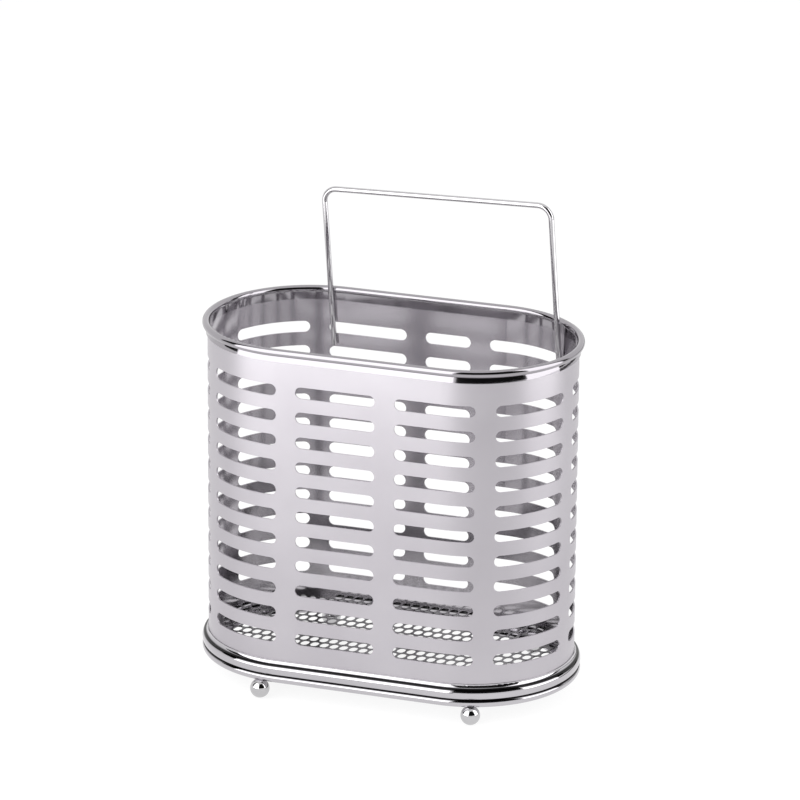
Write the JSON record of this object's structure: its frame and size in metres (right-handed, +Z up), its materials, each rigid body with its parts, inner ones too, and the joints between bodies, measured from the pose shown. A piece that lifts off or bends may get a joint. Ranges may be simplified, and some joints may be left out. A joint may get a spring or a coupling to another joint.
{
  "type": "chopstick holder",
  "caption": "Upright slotted steel basket with half-round ends, rolled rim, drain mesh floor, beaded base hoop on ball feet and a wire hanger loop, for draining chopsticks and cutlery.",
  "frame": {"origin": "on the table, under the middle of the basket", "axes": "+Z up, long side of the basket along X, front towards -Y, hanger loop at the back towards +Y"},
  "size_m": [0.1706, 0.1006, 0.214],
  "materials": {
    "satin_steel": "satin, with a fine vertical grain",
    "polished_steel": "polished",
    "mesh_steel": "satin",
    "wire_steel": "polished",
    "ball_steel": "mirror polished"
  },
  "bodies": {
    "root": {"basket_wall": "satin_steel", "base_ring": "polished_steel", "drain_mesh": "mesh_steel", "hanger_wire": "wire_steel", "foot_front_left": "ball_steel", "foot_front_right": "ball_steel", "foot_back_left": "ball_steel", "foot_back_right": "ball_steel"}
  },
  "joints": []
}
